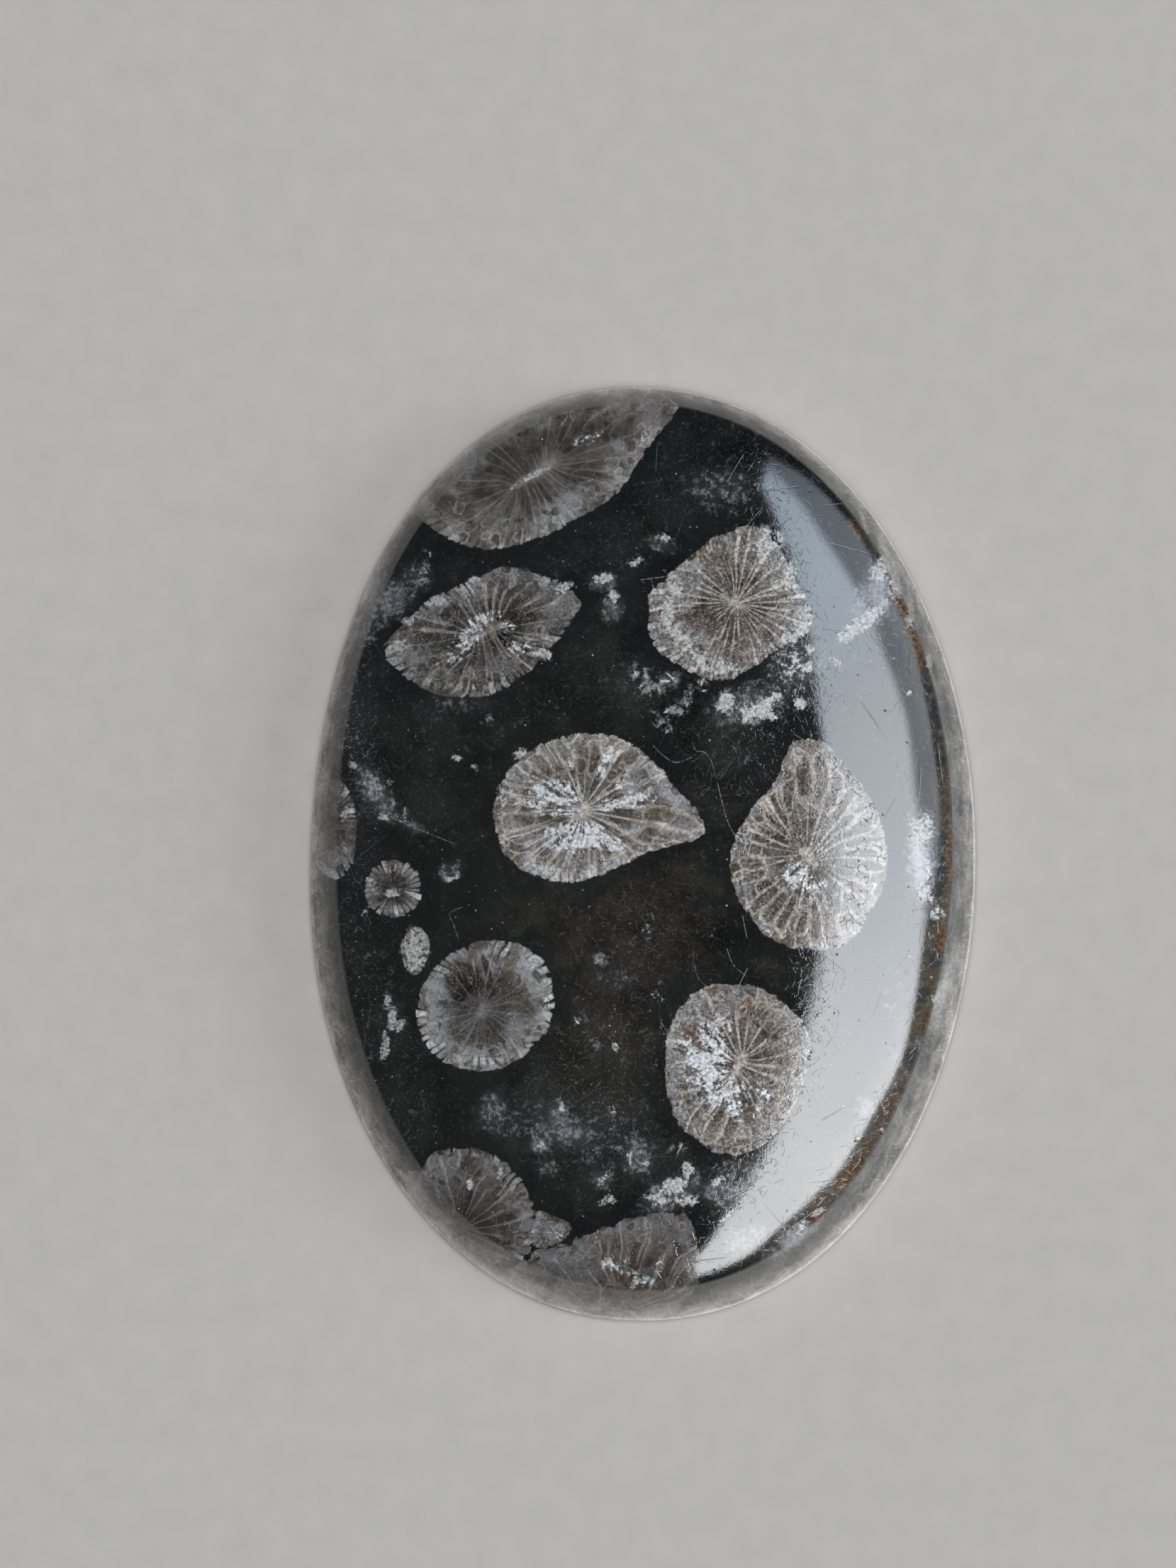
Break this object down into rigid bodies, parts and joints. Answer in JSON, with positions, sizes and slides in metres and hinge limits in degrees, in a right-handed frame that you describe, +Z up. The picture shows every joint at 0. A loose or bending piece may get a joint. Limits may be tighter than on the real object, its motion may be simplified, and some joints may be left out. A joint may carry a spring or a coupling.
{
  "type": "fossil coral cabochon",
  "caption": "Oval domed stone of polished dark fossil coral, with a flat base and a low wall for setting in a bezel.",
  "frame": {"origin": "centre of the flat base, on the surface that the stone rests on", "axes": "+Z up through the top of the dome, +Y along the length of the oval, +X across it"},
  "size_m": [0.025, 0.0352, 0.0068],
  "materials": {
    "polished_stone": "near-black agate with grey-white rayed coral figures, polished on the dome, satin on the wall and base"
  },
  "bodies": {
    "root": {"cabochon": "polished_stone"}
  },
  "joints": []
}
